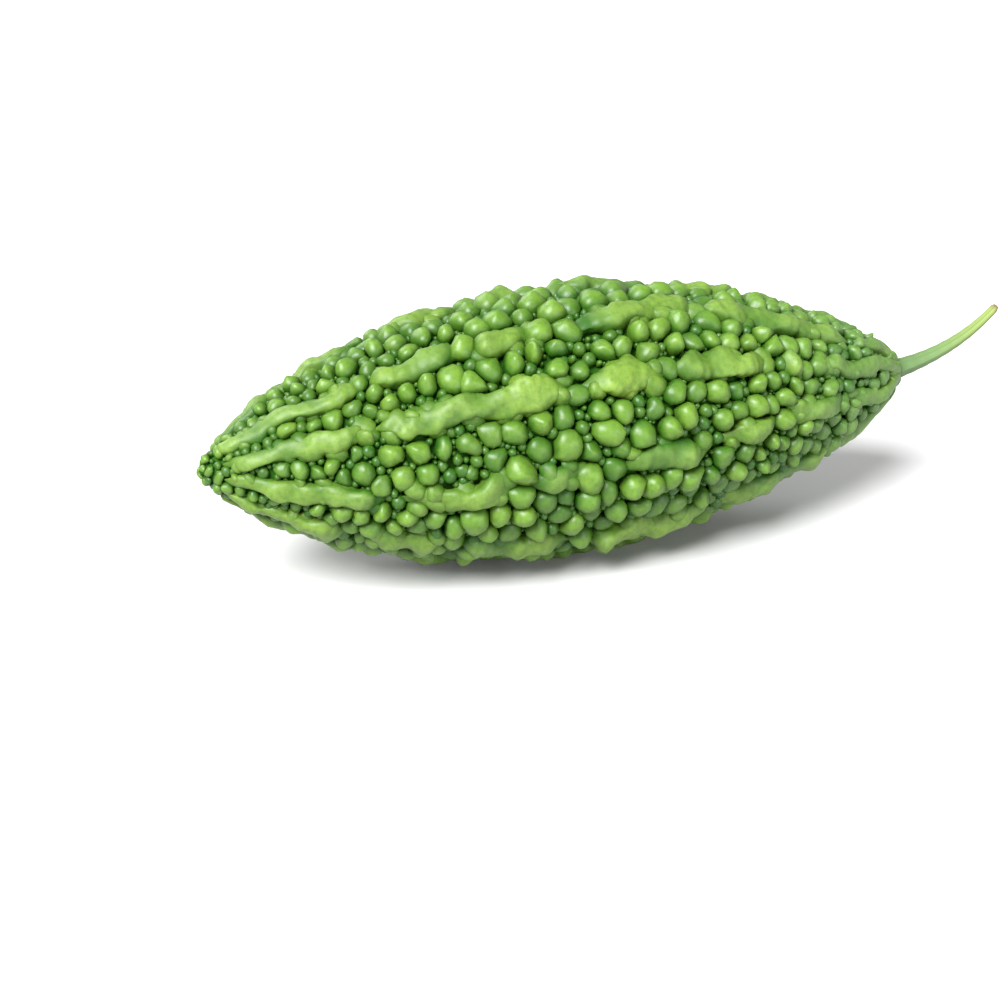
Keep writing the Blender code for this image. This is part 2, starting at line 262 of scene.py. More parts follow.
# For each ridge: its angle in degrees at each of the places, then where its unbroken stretches start and
# end. Places are shares of the length from the tip, and 90 degrees is the top.
RIDGE_PLACES = (0.0, 0.27, 0.48, 0.64, 0.80, 1.0)
RIDGES = (
    (
        (114, 113, 110, 108, 108, 108),
        ((0.03, 0.24), (0.26, 0.38), (0.40, 0.47), (0.49, 0.65), (0.67, 0.83), (0.84, 0.99)),
    ),
    (
        (66, 63, 67, 77, 65, 64),
        ((0.03, 0.20), (0.22, 0.34), (0.35, 0.44), (0.48, 0.67), (0.68, 0.90), (0.91, 0.99)),
    ),
    (
        (34, 33, 39, 39, 38, 28),
        ((0.03, 0.20), (0.21, 0.46), (0.47, 0.59), (0.60, 0.76), (0.77, 0.80), (0.83, 0.99)),
    ),
    (
        (-6, -8, 0, 2, 6, -6),
        ((0.03, 0.21), (0.23, 0.37), (0.39, 0.47), (0.52, 0.65), (0.66, 0.75), (0.77, 0.87), (0.88, 0.99)),
    ),
    (
        (-42, -42, -43, -42, -40, -44),
        ((0.03, 0.17), (0.20, 0.30), (0.32, 0.47), (0.49, 0.66), (0.68, 0.86), (0.87, 0.99)),
    ),
    (
        (-79, -76, -79, -75, -78, -80),
        ((0.03, 0.21), (0.23, 0.38), (0.39, 0.71), (0.73, 0.90), (0.91, 0.99)),
    ),
    (
        (-114, -110, -114, -110, -112, -114),
        ((0.03, 0.27), (0.29, 0.45), (0.46, 0.68), (0.70, 0.84), (0.86, 0.99)),
    ),
    (
        (-150, -153, -148, -152, -149, -151),
        ((0.03, 0.19), (0.21, 0.34), (0.38, 0.57), (0.59, 0.77), (0.78, 0.99)),
    ),
    (
        (160, 165, 160, 166, 162, 160),
        ((0.03, 0.28), (0.30, 0.50), (0.53, 0.69), (0.70, 0.88), (0.89, 0.99)),
    ),
)
RIDGE_HEIGHT = 0.0060
RIDGE_HALF_WIDTH = 0.0036
RIDGE_WIDEST = 0.42
RIDGE_ROOT = 0.0010
RIDGE_SWAY = 0.0005
LEFT_LOBE_LENGTH = 0.0090
RIGHT_LOBE_LENGTH = 0.0078
RIDGE_OVERLAP = 0.0011
NOSE_LENGTHS = (0.003, 0.015)
NOSE_SHARPNESS = (0.55, 1.15)
NOSE_HEIGHT = 0.45
NOSE_RISE = 0.2
SWELL_HEIGHT = 0.00048
SWELL_LENGTH = 0.0080
DIMPLE_DEPTH = 0.00020
DIMPLE_LENGTH = 0.0034
LEAST_RELIEF = 0.30
FADE_LENGTH = 0.0040
RIDGE_SEED = 5
RIDGE_SIDES = 28
RIDGE_STEP = 0.0006
RIDGE_GREEN = (0.099, 0.175, 0.028)
RIDGE_ROUGHNESS = 0.50
RIDGE_SHINE = 0.31
# Paler, cooler crowns toward the stem end, and high up on the far side as painted sheen.
STEM_END_PALENESS = 0.62
UPPER_SHEEN = 0.35
PALENESS_REACH = 0.050
UPPER_SHEEN_HEIGHT = 0.040
FAR_SIDE_FROM = -0.010
FAR_SIDE_WIDTH = 0.030


def smooth(x):
    """0 below 0, 1 above 1, and an even rise between: 3x^2 - 2x^3."""
    x = np.clip(x, 0, 1)
    return x * x * (3 - 2 * x)


def relief(v):
    """How large ridges and warts are at v, from 1 at the widest place to 0 at both poles."""
    ends = smooth(v / FADE_LENGTH) * smooth((V_END - v) / FADE_LENGTH)
    return (LEAST_RELIEF + (1 - LEAST_RELIEF) * girth(v) / WALL_RADIUS) * ends


def lumpy(points, wavelength, seed):
    """Even bumps, mostly between -1 and 1: a third of the sum of seven sine waves in random directions."""
    rng = np.random.default_rng(seed)
    ways = rng.normal(size=(7, 3))
    ways *= 2 * math.pi / wavelength / np.linalg.norm(ways, axis=1)[:, None] * rng.uniform(0.7, 1.4, (7, 1))
    return np.sin(points @ ways.T + rng.uniform(0, 2 * math.pi, 7)).sum(axis=-1) / 3


def frost(points):
    """How pale and cool the skin is: most at the stem end, and a little high up on the far side, where it is
    painted sheen.
    """
    along = smooth((points[..., 0] - SEAT_X + PALENESS_REACH) / PALENESS_REACH)
    up = smooth((points[..., 2] - AXIS_HEIGHT) / UPPER_SHEEN_HEIGHT)
    up = up * smooth((points[..., 1] - FAR_SIDE_FROM) / FAR_SIDE_WIDTH)
    return STEM_END_PALENESS * along + UPPER_SHEEN * up * (1 - along)


ridge_rng = np.random.default_rng(RIDGE_SEED)
ridge_phase = ridge_rng.uniform(0, 2 * math.pi, (len(RIDGES), 3))
ridge_places = np.interp(np.array(RIDGE_PLACES) * LENGTH, wall_x, wall_v)
ridge_angles = np.radians([degrees for degrees, stretches in RIDGES])
ridge_spans = [np.interp(np.array(stretches) * LENGTH, wall_x, wall_v) for degrees, stretches in RIDGES]
shape_rng = np.random.default_rng(RIDGE_SEED + 20)


def ridge_line(number, v):
    """The ridge's angle at v: the mean of five readings of its angles near v, and two slow sines."""
    steps = np.linspace(-0.01, 0.01, 5)
    readings = [np.interp(v + step, ridge_places, ridge_angles[number]) for step in steps]
    sway = RIDGE_SWAY * np.sin(v / 0.012 + ridge_phase[number, 0])
    sway = sway + RIDGE_SWAY * np.sin(v / 0.0034 + ridge_phase[number, 1])
    return np.mean(readings, axis=0) + sway / np.maximum(girth(v), 0.008)


def ridge_half_width(number, v):
    """Half the ridge's width at v: it swells and narrows by a slow sine."""
    return RIDGE_HALF_WIDTH * relief(v) * (1 + 0.14 * np.sin(v / 0.0042 + ridge_phase[number, 2]))


def scallops(v, wavelength, phase):
    """Round lobes with sharp notches between, from 0 to 1: a sine's size, with a pace that wanders."""
    pace = v / wavelength + 0.30 * np.sin(v / (0.8 * wavelength) + phase)
    return np.abs(np.sin(math.pi * pace + 2 * phase)) ** 0.8


def ridge_stretch(number, start, end):
    """Points round one stretch of a ridge, how high each stands, and the number of rings.

    The profile is a fat closed arch, rooted a little below the wall and carried along the ridge's line. Its
    two flanks have lobes of their own, its top waves up and down, and its crest sways from side to side. At
    both ends it is drawn in to a rounded or pointed nose. Two sizes of even bumps roughen it.
    """
    rings = max(8, int((end - start) / RIDGE_STEP))
    v = start + (end - start) * (1 - np.cos(np.linspace(0, math.pi, rings + 2)[1:-1])) / 2
    v = 0.5 * v + 0.5 * np.linspace(start, end, rings + 2)[1:-1]
    turn = np.linspace(0, 2 * math.pi, RIDGE_SIDES, endpoint=False)
    nose = shape_rng.uniform(*NOSE_LENGTHS, 2) * relief((start + end) / 2)
    to_start = 1 - np.clip((v - start) / nose[0], 0, 1)
    to_end = 1 - np.clip((end - v) / nose[1], 0, 1)
    sharp = shape_rng.uniform(*NOSE_SHARPNESS, 2)
    drawn = (1 - to_start**2) ** sharp[0] * (1 - to_end**2) ** sharp[1]
    phase = shape_rng.uniform(0, 2 * math.pi, 8)
    lobe_size = shape_rng.uniform(0.10, 0.42, 2)
    left = 0.95 - 0.55 * lobe_size[0] + lobe_size[0] * scallops(v, LEFT_LOBE_LENGTH, phase[0])
    right = 0.95 - 0.55 * lobe_size[1] + lobe_size[1] * scallops(v, RIGHT_LOBE_LENGTH, phase[2])
    left = left + 0.13 * np.sin(v / 0.0036 + phase[1])
    right = right + 0.13 * np.sin(v / 0.0030 + phase[3])
    top = 0.93 + 0.14 * np.sin(v / 0.0030 + phase[4]) + 0.04 * np.sin(v / 0.0012 + phase[5])
    top = top + 0.16 * np.exp(-(((v - start) / 0.0045) ** 2))
    width = ridge_half_width(number, v) * drawn
    height = RIDGE_HEIGHT * relief(v) * top * (NOSE_HEIGHT + (1 - NOSE_HEIGHT) * drawn)
    across = np.sign(np.cos(turn)) * np.abs(np.cos(turn)) ** 0.85
    over = np.maximum(np.sin(turn), 0) ** 0.85
    under = np.minimum(np.sin(turn), 0)
    flank = np.where(across > 0, right[:, None], left[:, None])
    flank = flank + (1 - flank) * over**2
    crest = 0.35 * np.sin(v / 0.0075 + phase[6])
    side = width[:, None] * (flank * across + crest[:, None] * over**2)
    middle = RIDGE_WIDEST * height
    rim_to_top = (height - middle) * drawn
    rim_to_root = (middle + RIDGE_ROOT) * drawn
    lift = middle[:, None] + rim_to_top[:, None] * over + rim_to_root[:, None] * under
    rough = skin_point(v[:, None], ridge_line(number, v)[:, None] + side / girth(v)[:, None], lift)
    swell = SWELL_HEIGHT * lumpy(rough, SWELL_LENGTH, 31) + DIMPLE_DEPTH * lumpy(rough, DIMPLE_LENGTH, 32)
    swell *= relief(v)[:, None] * drawn[:, None]
    side = side + swell * np.cos(turn)
    lift = lift + swell * np.sin(turn)
    points = skin_point(v[:, None], ridge_line(number, v)[:, None] + side / girth(v)[:, None], lift)
    ends = np.array([start, end])
    nose_lift = RIDGE_WIDEST * NOSE_HEIGHT * RIDGE_HEIGHT * relief(ends)
    noses = skin_point(ends, ridge_line(number, ends), nose_lift)
    rise = np.clip(lift / (RIDGE_HEIGHT * relief(v)[:, None]), 0, 1.2)
    rise_ends = np.full(2, NOSE_RISE)
    return np.concatenate([points.reshape(-1, 3), noses]), np.concatenate([rise.ravel(), rise_ends]), rings


ridge_points, ridge_rise, ridge_quads, ridge_caps = [], [], [], []
count = 0
for number, spans in enumerate(ridge_spans):
    for start, end in spans:
        start, end = start - RIDGE_OVERLAP, min(end + RIDGE_OVERLAP, V_STEM)
        points, rise, rings = ridge_stretch(number, start, end)
        quads, caps = shell_faces(1, rings, RIDGE_SIDES)
        ridge_points.append(points)
        ridge_rise.append(rise)
        ridge_quads.append(quads + count)
        ridge_caps.append(caps + count)
        count += len(points)
ridge_points = np.concatenate(ridge_points)
ridge_rise = np.concatenate(ridge_rise)
ridges = mesh_piece(
    "fruit_ridges",
    ridge_points,
    np.concatenate(ridge_quads)[:, ::-1],
    np.concatenate(ridge_caps)[:, ::-1],
    fruit_skin("ridge_skin", RIDGE_GREEN, RIDGE_ROUGHNESS, RIDGE_SHINE),
    rise=ridge_rise,
    tone=0.5 + 0.5 * lumpy(ridge_points, 0.03, 41),
    frost=frost(ridge_points) * ridge_rise,
)
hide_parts("gourd")

# The warts
# Round, pea-like swellings of the skin fill the furrows between the ridges, packed so tightly that they
# flatten each other. They stand on necks narrower than themselves, and a few have grown together.

WART_SPACING = 0.0063
WART_HEIGHT = 0.0052
WART_HEIGHTS = (0.70, 1.16)
TALLEST_WART = 0.0064
WART_SIZE = 0.60
WART_SIZES = (0.76, 1.22)
MOST_OVAL = 0.24
MOST_EGG = 0.12
FROM_TIP = 0.003
FROM_STEM = 0.001
MISSING_SHARE = 0.05
GROWN_TOGETHER = 0.16
GROWN_OVERLAP = 1.42
TOUCHING_OVERLAP = 1.07
PEAKED_ON_TOP = 0.50
PEAKED_ELSEWHERE = 0.20
POINTED = (0.80, 1.35)
PEAK_POINTED = 1.55
PEAK_TALLER = 1.25
LEANING = 0.17
WART_TRIES = 12000
WART_SEED = 11
CLOSEST_WART = 0.80
CLOSEST_FOOT = 0.30
RELAX_ROUNDS = 40
PUSH = 0.12
PUSH_REACH = 1.05
FOOT_DISTANCE = 0.44
FOOT_TAPER = 0.0070
WART_SIDES = 12
DOME_DEGREES = (26, 50, 74, 100, 126)
BULGE_LIFT = 0.41
NECK_REACH = 0.66
ROOT_LIFT = -0.12
WART_UNEVEN = 0.00028
WART_UNEVEN_LENGTH = 0.0055
WART_ROUGH = 0.00008
WART_ROUGH_LENGTH = 0.0025
WART_ROUGHNESS = 0.43
WART_SHINE = 0.38


def wrap(angle):
    """An angle in radians brought between minus pi and pi."""
    return (angle + math.pi) % (2 * math.pi) - math.pi


def foot_gap(v, angle):
    """Distance to the nearest foot of a ridge that stands there, and which side of the spot it is on."""
    across, width = [], []
    for number, spans in enumerate(ridge_spans):
        across.append(wrap(angle - ridge_line(number, v)) * girth(v))
        from_end = np.minimum(v[:, None] - spans[:, 0], spans[:, 1] - v[:, None]).max(axis=1)
        drawn = 0.40 + 0.60 * np.sqrt(np.clip(from_end / FOOT_TAPER, 0, 1))
        width.append(np.where(from_end > 0, 1.05 * drawn * ridge_half_width(number, v), -0.5))
    gap = np.abs(across) - np.array(width)
    nearest = np.argmin(gap, axis=0)[None]
    return gap.min(axis=0), np.sign(np.take_along_axis(np.array(across), nearest, axis=0))[0]


def wart_spacing(v, angle):
    """The warts' spacing at a spot: it follows the relief, and is coarser and finer in patches."""
    patches = 1 + 0.13 * lumpy(skin_point(v, angle, 0 * v), 0.030, 51)
    return WART_SPACING * relief(v) * patches


# Random spots are thinned out until each is clear of the others and of the ridges' feet.
wart_rng = np.random.default_rng(WART_SEED)
wall_area = np.cumsum(wall_r[1:] * np.diff(wall_v))
v = np.interp(wart_rng.uniform(0, wall_area[-1], WART_TRIES), wall_area, wall_v[1:])
angle = wart_rng.uniform(-math.pi, math.pi, WART_TRIES)
spacing = wart_spacing(v, angle)
roomy = (foot_gap(v, angle)[0] > CLOSEST_FOOT * spacing) & (v > FROM_TIP) & (v < V_STEM - FROM_STEM)
spots = skin_point(v, angle, 0 * v)
kept = []
for i in np.nonzero(roomy)[0]:
    if np.all(np.linalg.norm(spots[kept] - spots[i], axis=1) > CLOSEST_WART * spacing[i]):
        kept.append(i)
v, angle = v[kept], angle[kept]

# They push each other apart until they are evenly spread, and stay off the ridges' feet.
for _ in range(RELAX_ROUNDS):
    spots = skin_point(v, angle, 0 * v)
    spacing = wart_spacing(v, angle)
    apart = np.linalg.norm(spots[:, None] - spots[None], axis=2) + np.eye(len(v))
    push = PUSH * np.clip(PUSH_REACH * spacing[:, None] / apart - 1, 0, 0.6) * (1 - np.eye(len(v)))
    v = np.clip(v + np.sum(push * (v[:, None] - v[None]), axis=1), FROM_TIP, V_STEM - FROM_STEM)
    angle = angle + np.sum(push * wrap(angle[:, None] - angle[None]), axis=1)
    gap, side = foot_gap(v, angle)
    short = np.clip(FOOT_DISTANCE * spacing - gap, 0, 0.001)
    angle = angle + 0.5 * side * short / girth(v)

# A few are missing, and small warts grow in their place.
kept = wart_rng.uniform(size=len(v)) > MISSING_SHARE
wart_v, wart_angle = v[kept], wrap(angle[kept])
wart_gap, wart_side = foot_gap(wart_v, wart_angle)
wart_free = WART_SIZE * wart_spacing(wart_v, wart_angle) * wart_rng.uniform(*WART_SIZES, len(wart_v))


def wart_outlines(turn):
    """Each wart's reach in each direction along the skin.

    Half-way lines to its neighbours and the feet of the ridges hem the wart in, and so does its own oval
    size. The reach is the smooth least of them: the -6th root of the sum of their -6th powers.
    """
    ahead = wart_v[None] - wart_v[:, None]
    beside = wrap(wart_angle[None] - wart_angle[:, None]) * girth((wart_v[None] + wart_v[:, None]) / 2)
    apart = np.hypot(ahead, beside) + np.eye(len(wart_v))
    mine = wart_free[:, None] / (wart_free[:, None] + wart_free[None])
    wart_turn = wart_rng.uniform(0, 2 * math.pi, (len(wart_v), 1))
    merged = wart_rng.uniform(size=apart.shape) < GROWN_TOGETHER
    merged = np.triu(merged, 1) | np.triu(merged, 1).T
    reach = apart * mine * np.where(merged, GROWN_OVERLAP, TOUCHING_OVERLAP)
    near = (apart < 3 * WART_SPACING) & ~np.eye(len(wart_v), dtype=bool)
    oval = wart_rng.uniform(0, MOST_OVAL, (len(wart_v), 1)) * np.cos(2 * turn[None] - wart_turn)
    egg = wart_rng.uniform(0, MOST_EGG, (len(wart_v), 1)) * np.cos(3 * turn[None] - 2 * wart_turn)
    hem = (1 / (wart_free[:, None] * (1 + oval + egg))) ** 6
    for i, (cos_turn, sin_turn) in enumerate(zip(np.cos(turn), np.sin(turn))):
        facing = np.clip((ahead * cos_turn + beside * sin_turn) / apart, 0, None)
        hem[:, i] += np.sum(np.where(near, (facing / reach) ** 6, 0), axis=1)
        facing_ridge = np.clip(-wart_side * sin_turn, 0, None)
        hem[:, i] += (facing_ridge / np.maximum(wart_gap, 0.0006)) ** 6
    return hem ** (-1 / 6)


turn = np.linspace(0, 2 * math.pi, WART_SIDES, endpoint=False)
outline = wart_outlines(turn)
wart_reach = outline.mean(axis=1)
point_up = wart_rng.uniform(*POINTED, len(wart_v))
wart_tall = WART_HEIGHT * relief(wart_v) * wart_rng.uniform(*WART_HEIGHTS, len(wart_v))
wart_tall *= np.clip(wart_reach / (0.5 * WART_SPACING * relief(wart_v)), 0.5, 1.25) ** 0.5
peaked_share = np.where(np.sin(wart_angle) > 0.8, PEAKED_ON_TOP, PEAKED_ELSEWHERE)
peaked = wart_rng.uniform(size=len(wart_v)) < peaked_share
point_up = np.where(peaked, PEAK_POINTED, point_up)
wart_tall = np.where(peaked, PEAK_TALLER, 1.0) * wart_tall
wart_tall = np.minimum(wart_tall, TALLEST_WART * relief(wart_v))
lean = wart_rng.normal(0, LEANING, (2, len(wart_v))) * wart_reach
dome = np.radians(DOME_DEGREES)
ring_reach = np.concatenate([np.sin(dome), [NECK_REACH]])
ring_lift = np.concatenate([BULGE_LIFT + (1 - BULGE_LIFT) * np.cos(dome), [ROOT_LIFT]])


def turn_of(reach):
    """The directions that an outline's numbers stand for."""
    return np.linspace(0, 2 * math.pi, reach.shape[1], endpoint=False)


def dome_shells(v, angle, reach, tall, pointed, lean):
    """Points of closed warts, one shell each, and how high each point stands.

    Every shell is six rings, then the crown and the root. Round the wart the reach is the outline's. From
    the crown down it is the sine of an angle that goes past the bulge to a narrower neck, and the height
    follows the angle's cosine. A high number in pointed narrows the top, and lean shifts it aside.
    """
    narrow = ring_reach[None] ** pointed[:, None]
    along = narrow[:, :, None] * (reach * np.cos(turn_of(reach)))[:, None]
    round_it = narrow[:, :, None] * (reach * np.sin(turn_of(reach)))[:, None]
    top_share = np.clip(ring_lift, 0, 1)[None, :, None]
    along = along + lean[0][:, None, None] * top_share
    round_it = round_it + lean[1][:, None, None] * top_share
    lift = (tall[:, None] * ring_lift[None])[:, :, None] * np.ones(reach.shape[1])
    place = np.clip(v[:, None, None] + along, 0.0002, V_END - 0.0002)
    points = skin_point(place, angle[:, None, None] + round_it / girth(v)[:, None, None], lift)
    crown = skin_point(v + lean[0], angle + lean[1] / girth(v), tall)
    root = skin_point(v, angle, ROOT_LIFT * tall)
    shells = len(v)
    points = np.concatenate([points.reshape(shells, -1, 3), crown[:, None], root[:, None]], axis=1)
    rise = np.concatenate([lift.reshape(shells, -1), tall[:, None], 0 * tall[:, None]], axis=1)
    return points, rise


def uneven(points, far, wavelength, seed):
    """The points moved about that far by even bumps, which differ for x, y and z."""
    return points + far * np.stack([lumpy(points, wavelength, seed + k) for k in range(3)], axis=1)


shells, rise = dome_shells(wart_v, wart_angle, outline, wart_tall, point_up, lean)
rise = rise / (WART_HEIGHT * relief(wart_v)[:, None])
wart_points = uneven(shells.reshape(-1, 3), WART_UNEVEN, WART_UNEVEN_LENGTH, 60)
wart_points = uneven(wart_points, WART_ROUGH, WART_ROUGH_LENGTH, 70)
wart_tone = np.repeat(wart_rng.uniform(0, 0.55, len(wart_v)), shells.shape[1])
quads, caps = shell_faces(len(wart_v), len(ring_lift), WART_SIDES)
warts = mesh_piece(
    "fruit_warts",
    wart_points,
    quads,
    caps,
    fruit_skin("wart_skin", CROWN_GREEN, WART_ROUGHNESS, WART_SHINE),
    rise=np.clip(rise, 0, 1),
    tone=wart_tone,
    frost=frost(wart_points) * np.clip(rise.ravel(), 0, 1),
)
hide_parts("gourd")

# The ridges' lobes
# Along both feet of every ridge the flesh swells out in blunt lobes, like warts that have grown into it. They
# are of the same smooth, pale skin.

LOBE_SPACING = 0.0058
LOBE_SIZE = 0.0031
LOBE_RISE = 0.84
LOBES_KEPT = 0.72
LOBE_UNEVEN = 0.00030
LOBES_FROM_STEM = 0.002

lobe_rng = np.random.default_rng(WART_SEED + 1)
lobe_v, lobe_angle, lobe_side = [], [], []
for number, spans in enumerate(ridge_spans):
    for start, end in spans:
        for side in (-1, 1):
            lobes = max(1, int((end - start) / (LOBE_SPACING * relief((start + end) / 2))))
            places = start + (end - start) * (np.arange(lobes) + lobe_rng.uniform(0.15, 0.85, lobes)) / lobes
            places = places[lobe_rng.uniform(size=lobes) < LOBES_KEPT]
            foot = side * ridge_half_width(number, places) * lobe_rng.uniform(0.55, 0.95, len(places))
            lobe_v.append(places)
            lobe_angle.append(ridge_line(number, places) + foot / girth(places))
            lobe_side.append(np.full(len(places), side))
lobe_v, lobe_angle, lobe_side = (np.concatenate(rows) for rows in (lobe_v, lobe_angle, lobe_side))
inside = lobe_v < V_STEM - LOBES_FROM_STEM
lobe_v, lobe_angle, lobe_side = lobe_v[inside], lobe_angle[inside], lobe_side[inside]
lobe_size = LOBE_SIZE * relief(lobe_v) * lobe_rng.uniform(0.70, 1.15, len(lobe_v))
lobe_tall = LOBE_RISE * RIDGE_HEIGHT * relief(lobe_v) * lobe_rng.uniform(0.72, 1.08, len(lobe_v))
stretch = lobe_rng.uniform(0, 0.30, (len(lobe_v), 1)) * np.cos(2 * turn[None] - lobe_rng.normal(0, 0.5))
lobe_lean = np.stack([lobe_rng.normal(0, 0.25, len(lobe_v)), -0.35 * lobe_side]) * lobe_size
shells, rise = dome_shells(
    lobe_v, lobe_angle, lobe_size[:, None] * (1 + stretch), lobe_tall, np.full(len(lobe_v), 0.85), lobe_lean
)
rise = rise / (RIDGE_HEIGHT * relief(lobe_v)[:, None])
lobe_points = uneven(shells.reshape(-1, 3), LOBE_UNEVEN, WART_UNEVEN_LENGTH, 60)
quads, caps = shell_faces(len(lobe_v), len(ring_lift), WART_SIDES)
lobes = mesh_piece(
    "ridge_lobes",
    lobe_points,
    quads,
    caps,
    bpy.data.materials["ridge_skin"],
    rise=np.clip(rise, 0, 1),
    tone=0.5 + 0.5 * lumpy(lobe_points, 0.03, 41),
    frost=frost(lobe_points) * np.clip(rise.ravel(), 0, 1),
)
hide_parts("gourd")

# The small warts
# Small warts, one to four millimetres across, fill what room is left in the creases between the large ones
# and along the ridges' feet. They are painted darker, as painted shade, because they sit deep.

SMALL_TRIES = 40000
SMALL_LEAST = 0.00048
SMALL_MOST = 0.00190
SMALL_CROWDING = 0.74
SMALL_FROM_TIP = 0.0008
SMALL_FROM_STEM = 0.0006
SMALL_OVER_FOOT = 0.0004
SMALL_BESIDE_WART = 0.86
SMALL_SIDES = 8

v = np.interp(wart_rng.uniform(0, wall_area[-1], SMALL_TRIES), wall_area, wall_v[1:])
angle = wart_rng.uniform(-math.pi, math.pi, SMALL_TRIES)
inside = (v > SMALL_FROM_TIP) & (v < V_STEM - SMALL_FROM_STEM)
v, angle = v[inside], angle[inside]
spots = skin_point(v, angle, 0 * v)
wart_spots = skin_point(wart_v, wart_angle, 0 * wart_v)
room = foot_gap(v, angle)[0] + SMALL_OVER_FOOT
for i in range(len(wart_v)):
    beside = np.linalg.norm(spots - wart_spots[i], axis=1) - SMALL_BESIDE_WART * wart_reach[i]
    room = np.minimum(room, beside)

# The spots with most room come first, and a spot is kept if its wart has enough room beside the others.
order = np.argsort(-room)
order = order[room[order] > SMALL_LEAST]
kept = []
size = np.clip(room, SMALL_LEAST, SMALL_MOST)
for i in order:
    apart = np.linalg.norm(spots[kept] - spots[i], axis=1)
    if np.all(apart > SMALL_CROWDING * (size[kept] + size[i])):
        kept.append(i)
small_v, small_angle, small_size = v[kept], angle[kept], size[kept]
small_tall = (0.0010 + 1.25 * small_size) * (0.4 + 0.6 * relief(small_v))
small_tall *= wart_rng.uniform(0.8, 1.3, len(kept))
small_outline = small_size[:, None] * wart_rng.uniform(0.9, 1.1, (len(kept), SMALL_SIDES))
small_lean = wart_rng.normal(0, 0.15, (2, len(kept))) * small_size
shells, rise = dome_shells(small_v, small_angle, small_outline, small_tall, np.ones(len(kept)), small_lean)
# Painted shade: the small warts' colour value is cut to three quarters.
rise = 0.75 * rise / (WART_HEIGHT * relief(small_v)[:, None])
small_points = shells.reshape(-1, 3)
quads, caps = shell_faces(len(kept), len(ring_lift), SMALL_SIDES)
small_warts = mesh_piece(
    "fruit_small_warts",
    small_points,
    quads,
    caps,
    bpy.data.materials["wart_skin"],
    rise=np.clip(rise, 0, 1),
    tone=np.repeat(wart_rng.uniform(0, 0.3, len(kept)), shells.shape[1]),
    frost=frost(small_points) * np.clip(rise.ravel(), 0, 1),
)
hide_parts("gourd")

# The stem
# The stalk that the fruit hung from: green, five-ribbed, flared where it grows out of the fruit, and drying
# to yellow at the end, where it was cut off with a slanting cut.

STEM_REACH = 0.0332
STEM_RISE = 0.0142
STEM_TIP_RADIUS = 0.0011
STEM_TAPER = 0.0012
STEM_FLARE = 0.0008
STEM_FLARE_SHARE = 0.16
STEM_ROOT = 0.0012
STEM_START = 0.0003
STEM_RIBS = 5
STEM_RIB_HEIGHT = 0.13
STEM_SLANT = 0.0007
STEM_RINGS = 110
STEM_SIDES = 40
STEM_FOOT_GREEN = (0.058, 0.112, 0.038)
STEM_MIDDLE_GREEN = (0.092, 0.160, 0.050)
STEM_DRY_YELLOW = (0.150, 0.205, 0.040)
STEM_CUT_BROWN = (0.130, 0.085, 0.030)
STEM_ROUGHNESS = 0.55
STEM_SHINE = 0.35

# The stalk's line runs out level and turns up with powers of the distance s along it. A ring with five ribs
# is carried along the line, wider at the foot by a flare that dies away, and tilted close to the cut.
s = np.linspace(0, 1, STEM_RINGS) ** 1.2
path = np.stack([STEM_REACH * s, 0 * s, STEM_RISE * (0.7 * s**1.5 + 0.3 * s**4)], axis=1)
ahead = np.gradient(path, axis=0)
ahead /= np.linalg.norm(ahead, axis=1)[:, None]
beside = np.cross(ahead, (0, 0, 1))
beside /= np.linalg.norm(beside, axis=1)[:, None]
above = np.cross(beside, ahead)
path[:, 0] -= STEM_ROOT * (1 - s) ** 8
turn = np.linspace(0, 2 * math.pi, STEM_SIDES, endpoint=False)
thick = STEM_TIP_RADIUS + STEM_TAPER * (1 - s) + STEM_FLARE * np.exp(-s / STEM_FLARE_SHARE)
ribs = 1 + STEM_RIB_HEIGHT * np.cos(STEM_RIBS * turn)[None] + 0.04 * np.cos(11 * turn + 1.0)[None]
ribs = ribs + 0.02 * np.sin(60 * s)[:, None]
slant = np.exp(-((1 - s) / 0.02))[:, None] * STEM_SLANT * np.cos(turn - 0.6)
stem_rings = path[:, None] + (thick[:, None] * ribs * np.cos(turn))[..., None] * beside[:, None]
stem_rings = stem_rings + (thick[:, None] * ribs * np.sin(turn))[..., None] * above[:, None]
stem_rings = stem_rings + slant[..., None] * ahead[:, None]
stem_ends = np.stack([stem_rings[0].mean(axis=0), stem_rings[-1].mean(axis=0)])
stem_points = np.concatenate([stem_rings.reshape(-1, 3), stem_ends])
stem_points = stem_points + (SEAT_X + STEM_START, AXIS_Y, AXIS_HEIGHT)
stem_quads, stem_caps = shell_faces(1, STEM_RINGS, STEM_SIDES)

stem_material = bpy.data.materials.new("stalk_skin")
stem_material.use_nodes = True
nodes, links = stem_material.node_tree.nodes, stem_material.node_tree.links
along = nodes.new("ShaderNodeAttribute")
along.attribute_name = "along"
colours = nodes.new("ShaderNodeValToRGB")
colours.color_ramp.elements[0].color = (*STEM_FOOT_GREEN, 1)
colours.color_ramp.elements[1].color = (*STEM_CUT_BROWN, 1)
for place, colour in ((0.97, STEM_DRY_YELLOW), (0.45, STEM_MIDDLE_GREEN)):
    colours.color_ramp.elements.new(place).color = (*colour, 1)
links.new(along.outputs["Fac"], colours.inputs[0])
shader = nodes["Principled BSDF"]
links.new(colours.outputs[0], shader.inputs["Base Color"])
shader.inputs["Roughness"].default_value = STEM_ROUGHNESS
shader.inputs["Specular IOR Level"].default_value = STEM_SHINE

stem = mesh_piece(
    "stem_stalk",
    stem_points,
    stem_quads,
    stem_caps,
    stem_material,
    along=np.concatenate([np.repeat(s, STEM_SIDES), [0, 1]]),
)
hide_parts("stem")

# The table and the light
# A plain pale table under a soft sky. The main light comes from above on the left, a weak one low from the
# front and another from behind, and each is as wide as a window.

TABLE_REACH = 20
TABLE_HEIGHT = -0.0001
TABLE_GREY = 0.50
SKY_STRENGTH = 0.46

